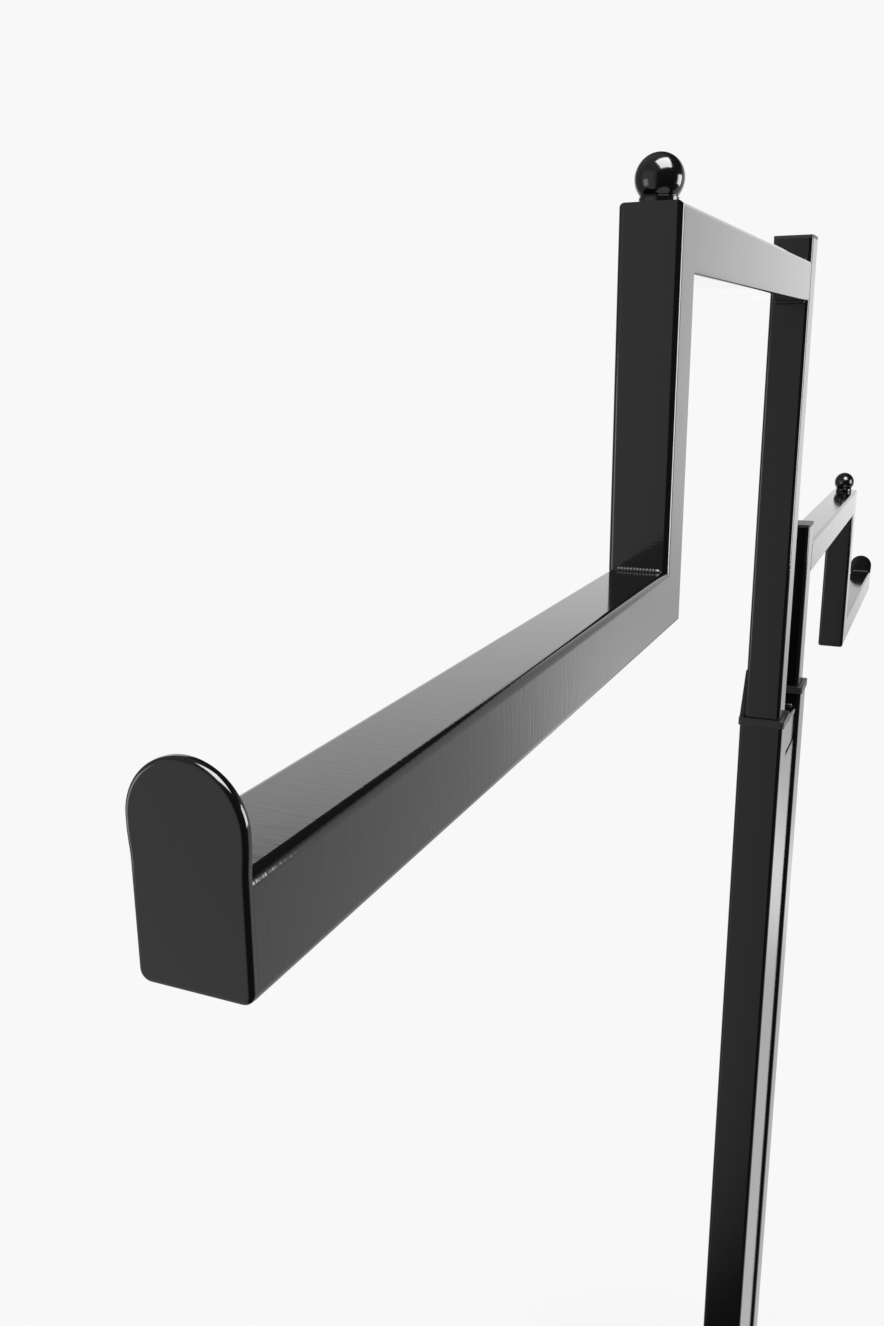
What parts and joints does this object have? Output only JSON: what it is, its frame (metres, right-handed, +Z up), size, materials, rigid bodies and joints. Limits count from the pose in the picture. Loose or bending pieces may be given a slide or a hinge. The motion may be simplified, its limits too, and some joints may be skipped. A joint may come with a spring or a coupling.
{
  "type": "standing coat rack",
  "caption": "Free-standing rack with two opposed stepped arms on square posts that slide in tall sleeves over an H-shaped base, each arm closed by a round-topped end plate.",
  "frame": {"origin": "on the floor, under the middle of the base, between the two sleeves", "axes": "+Z up, -Y along the front (higher) arm, +Y along the rear (lower) arm, +X to the right seen from the front"},
  "size_m": [0.52, 1.452, 1.4348],
  "materials": {
    "black_enamel": "gloss black stoved enamel over welded steel tube",
    "moulded_nylon": "moulded black nylon, satin",
    "knob_plastic": "moulded black phenolic, semi-gloss",
    "pad_plastic": "moulded dark grey polyethylene",
    "zinc_steel": "bright zinc plate"
  },
  "bodies": {
    "base": {"base_rail": "black_enamel", "foot_bolts": "zinc_steel", "front_cross_foot": "black_enamel", "front_guide": "moulded_nylon", "front_left_foot_cap": "moulded_nylon", "front_lock_boss": "black_enamel", "front_right_foot_cap": "moulded_nylon", "front_sleeve": "black_enamel", "leveler_inserts": "zinc_steel", "mast_bolts": "zinc_steel", "mast_nuts": "zinc_steel", "mast_plate": "black_enamel", "mast_web": "black_enamel", "rail_end_blocks": "black_enamel", "rear_cross_foot": "black_enamel", "rear_guide": "moulded_nylon", "rear_left_foot_cap": "moulded_nylon", "rear_lock_boss": "black_enamel", "rear_right_foot_cap": "moulded_nylon", "rear_sleeve": "black_enamel", "upper_link": "black_enamel"},
    "front_arm_set": {"front_post": "black_enamel", "front_post_cap": "moulded_nylon", "front_post_shoe": "moulded_nylon", "front_top_bar": "black_enamel", "front_riser": "black_enamel", "front_arm": "black_enamel", "front_end_plate": "black_enamel", "front_finial": "black_enamel", "front_finial_nut": "zinc_steel"},
    "rear_arm_set": {"rear_post": "black_enamel", "rear_post_cap": "moulded_nylon", "rear_post_shoe": "moulded_nylon", "rear_top_bar": "black_enamel", "rear_riser": "black_enamel", "rear_arm": "black_enamel", "rear_end_plate": "black_enamel", "rear_finial": "black_enamel", "rear_finial_nut": "zinc_steel"},
    "front_lock": {"front_lock_screw": "zinc_steel", "front_lock_knob": "knob_plastic"},
    "rear_lock": {"rear_lock_screw": "zinc_steel", "rear_lock_knob": "knob_plastic"},
    "front_left_leveler": {"front_left_leveler_pad": "pad_plastic", "front_left_leveler_stud": "zinc_steel"},
    "front_right_leveler": {"front_right_leveler_pad": "pad_plastic", "front_right_leveler_stud": "zinc_steel"},
    "rear_left_leveler": {"rear_left_leveler_pad": "pad_plastic", "rear_left_leveler_stud": "zinc_steel"},
    "rear_right_leveler": {"rear_right_leveler_pad": "pad_plastic", "rear_right_leveler_stud": "zinc_steel"}
  },
  "joints": [
    {"name": "front_arm_height", "type": "slide", "parent": "base", "child": "front_arm_set", "axis": [0, 0, 1], "range_m": [-0.25, 0.4]},
    {"name": "rear_arm_height", "type": "slide", "parent": "base", "child": "rear_arm_set", "axis": [0, 0, 1], "range_m": [-0.08, 0.5]},
    {"name": "front_lock_turn", "type": "hinge", "parent": "base", "child": "front_lock", "pos_m": [0, -0.0125, 1.01], "axis": [0, 1, 0], "range_deg": [0, 360]},
    {"name": "rear_lock_turn", "type": "hinge", "parent": "base", "child": "rear_lock", "pos_m": [0, 0.0795, 1.01], "axis": [0, 1, 0], "range_deg": [0, 360]},
    {"name": "front_left_leveler_turn", "type": "hinge", "parent": "base", "child": "front_left_leveler", "pos_m": [-0.235, -0.375, 0.02], "axis": [0, 0, 1], "continuous": true},
    {"name": "front_right_leveler_turn", "type": "hinge", "parent": "base", "child": "front_right_leveler", "pos_m": [0.235, -0.375, 0.02], "axis": [0, 0, 1], "continuous": true},
    {"name": "rear_left_leveler_turn", "type": "hinge", "parent": "base", "child": "rear_left_leveler", "pos_m": [-0.235, 0.375, 0.02], "axis": [0, 0, 1], "continuous": true},
    {"name": "rear_right_leveler_turn", "type": "hinge", "parent": "base", "child": "rear_right_leveler", "pos_m": [0.235, 0.375, 0.02], "axis": [0, 0, 1], "continuous": true}
  ]
}
